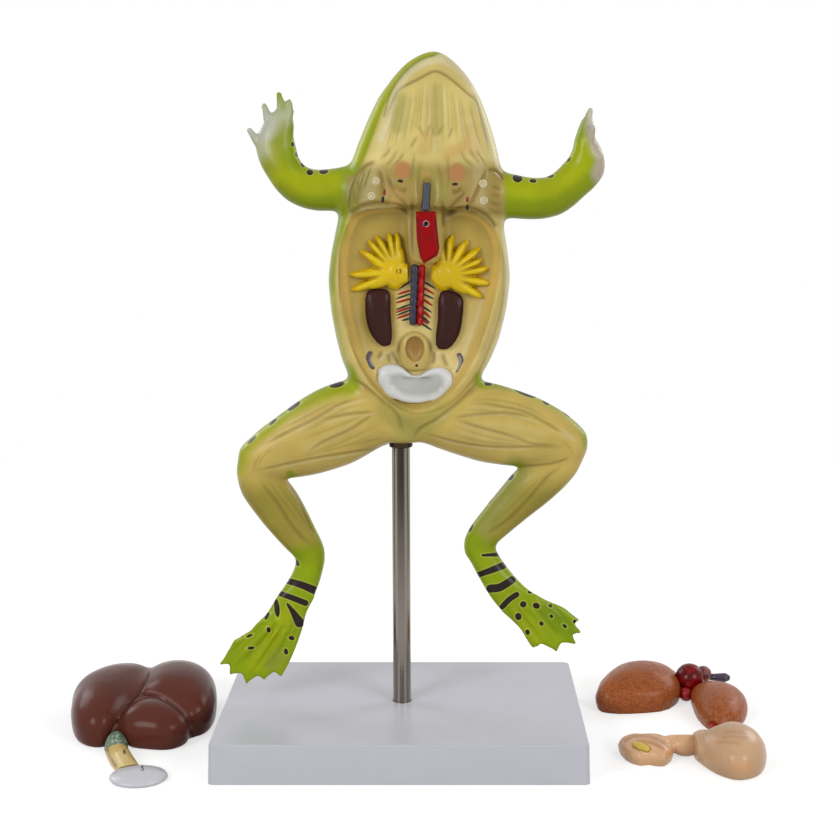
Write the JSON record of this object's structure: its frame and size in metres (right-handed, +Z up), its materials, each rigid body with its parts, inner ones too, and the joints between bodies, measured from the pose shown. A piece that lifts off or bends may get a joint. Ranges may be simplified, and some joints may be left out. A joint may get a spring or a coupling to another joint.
{
  "type": "frog anatomy model",
  "caption": "Opened frog on a rod stand, showing the organs in its body cavity, with its liver, lungs, heart, stomach and sternum taken out and laid beside the base.",
  "frame": {"origin": "on the axis of the rod, in the plane of the table under the base", "axes": "+Z up along the rod, the opened belly of the frog faces -Y, +X is to the right of a viewer of the belly"},
  "size_m": [0.3977, 0.1589, 0.3802],
  "materials": {
    "base_plastic": "gloss",
    "rod_steel": "polished",
    "sleeve_metal": "satin",
    "belly_skin": "gloss",
    "green_skin": "gloss",
    "eye_gloss": "gloss",
    "fat_yellow": "gloss",
    "kidney_brown": "gloss",
    "vein_blue": "gloss",
    "artery_red": "gloss",
    "iliac_violet": "gloss",
    "bladder_white": "gloss",
    "rectum_cream": "gloss",
    "liver_brown": "gloss",
    "gall_green": "gloss",
    "sternum_yellow": "gloss",
    "disc_white": "gloss",
    "lung_orange": "gloss",
    "heart_red": "gloss",
    "stomach_pink": "gloss",
    "pancreas_yellow": "gloss"
  },
  "bodies": {
    "stand": {"base": "base_plastic", "support_rod": "rod_steel"},
    "sleeve": {"rod_sleeve": "sleeve_metal"},
    "frog": {"torso": "belly_skin", "left_arm": "green_skin", "right_arm": "green_skin", "left_leg": "green_skin", "right_leg": "green_skin", "left_eye": "eye_gloss", "right_eye": "eye_gloss", "left_fat_body": "fat_yellow", "right_fat_body": "fat_yellow", "left_kidney": "kidney_brown", "right_kidney": "kidney_brown", "left_iliac_vein": "iliac_violet", "right_iliac_vein": "iliac_violet", "vena_cava": "vein_blue", "dorsal_aorta": "artery_red", "heart_seat": "artery_red", "throat_vein": "vein_blue", "bladder": "bladder_white", "rectum": "rectum_cream"},
    "liver_piece": {"liver": "liver_brown", "gall_bladder": "gall_green"},
    "sternum_piece": {"sternum_bar": "sternum_yellow", "sternum_disc": "disc_white"},
    "lungs_piece": {"left_lung": "lung_orange", "right_lung": "lung_orange", "heart": "heart_red", "heart_atrium": "heart_red", "aorta_root": "artery_red", "lung_vein": "vein_blue", "lung_tip_vessel": "artery_red"},
    "gut_piece": {"stomach": "stomach_pink", "intestine": "stomach_pink", "pancreas": "pancreas_yellow"}
  },
  "joints": [
    {"name": "frog_lift", "type": "slide", "parent": "stand", "child": "sleeve", "axis": [0, 0, 1], "range_m": [0, 0.06]},
    {"name": "frog_swivel", "type": "hinge", "parent": "sleeve", "child": "frog", "pos_m": [0, 0, 0.19], "axis": [0, 0, 1], "continuous": true},
    {"name": "liver_lift", "type": "slide", "parent": "stand", "child": "liver_piece", "axis": [0, 0, 1], "range_m": [0, 0.08]},
    {"name": "sternum_lift", "type": "slide", "parent": "stand", "child": "sternum_piece", "axis": [0, 0, 1], "range_m": [0, 0.08]},
    {"name": "lungs_lift", "type": "slide", "parent": "stand", "child": "lungs_piece", "axis": [0, 0, 1], "range_m": [0, 0.08]},
    {"name": "gut_lift", "type": "slide", "parent": "stand", "child": "gut_piece", "axis": [0, 0, 1], "range_m": [0, 0.08]}
  ]
}
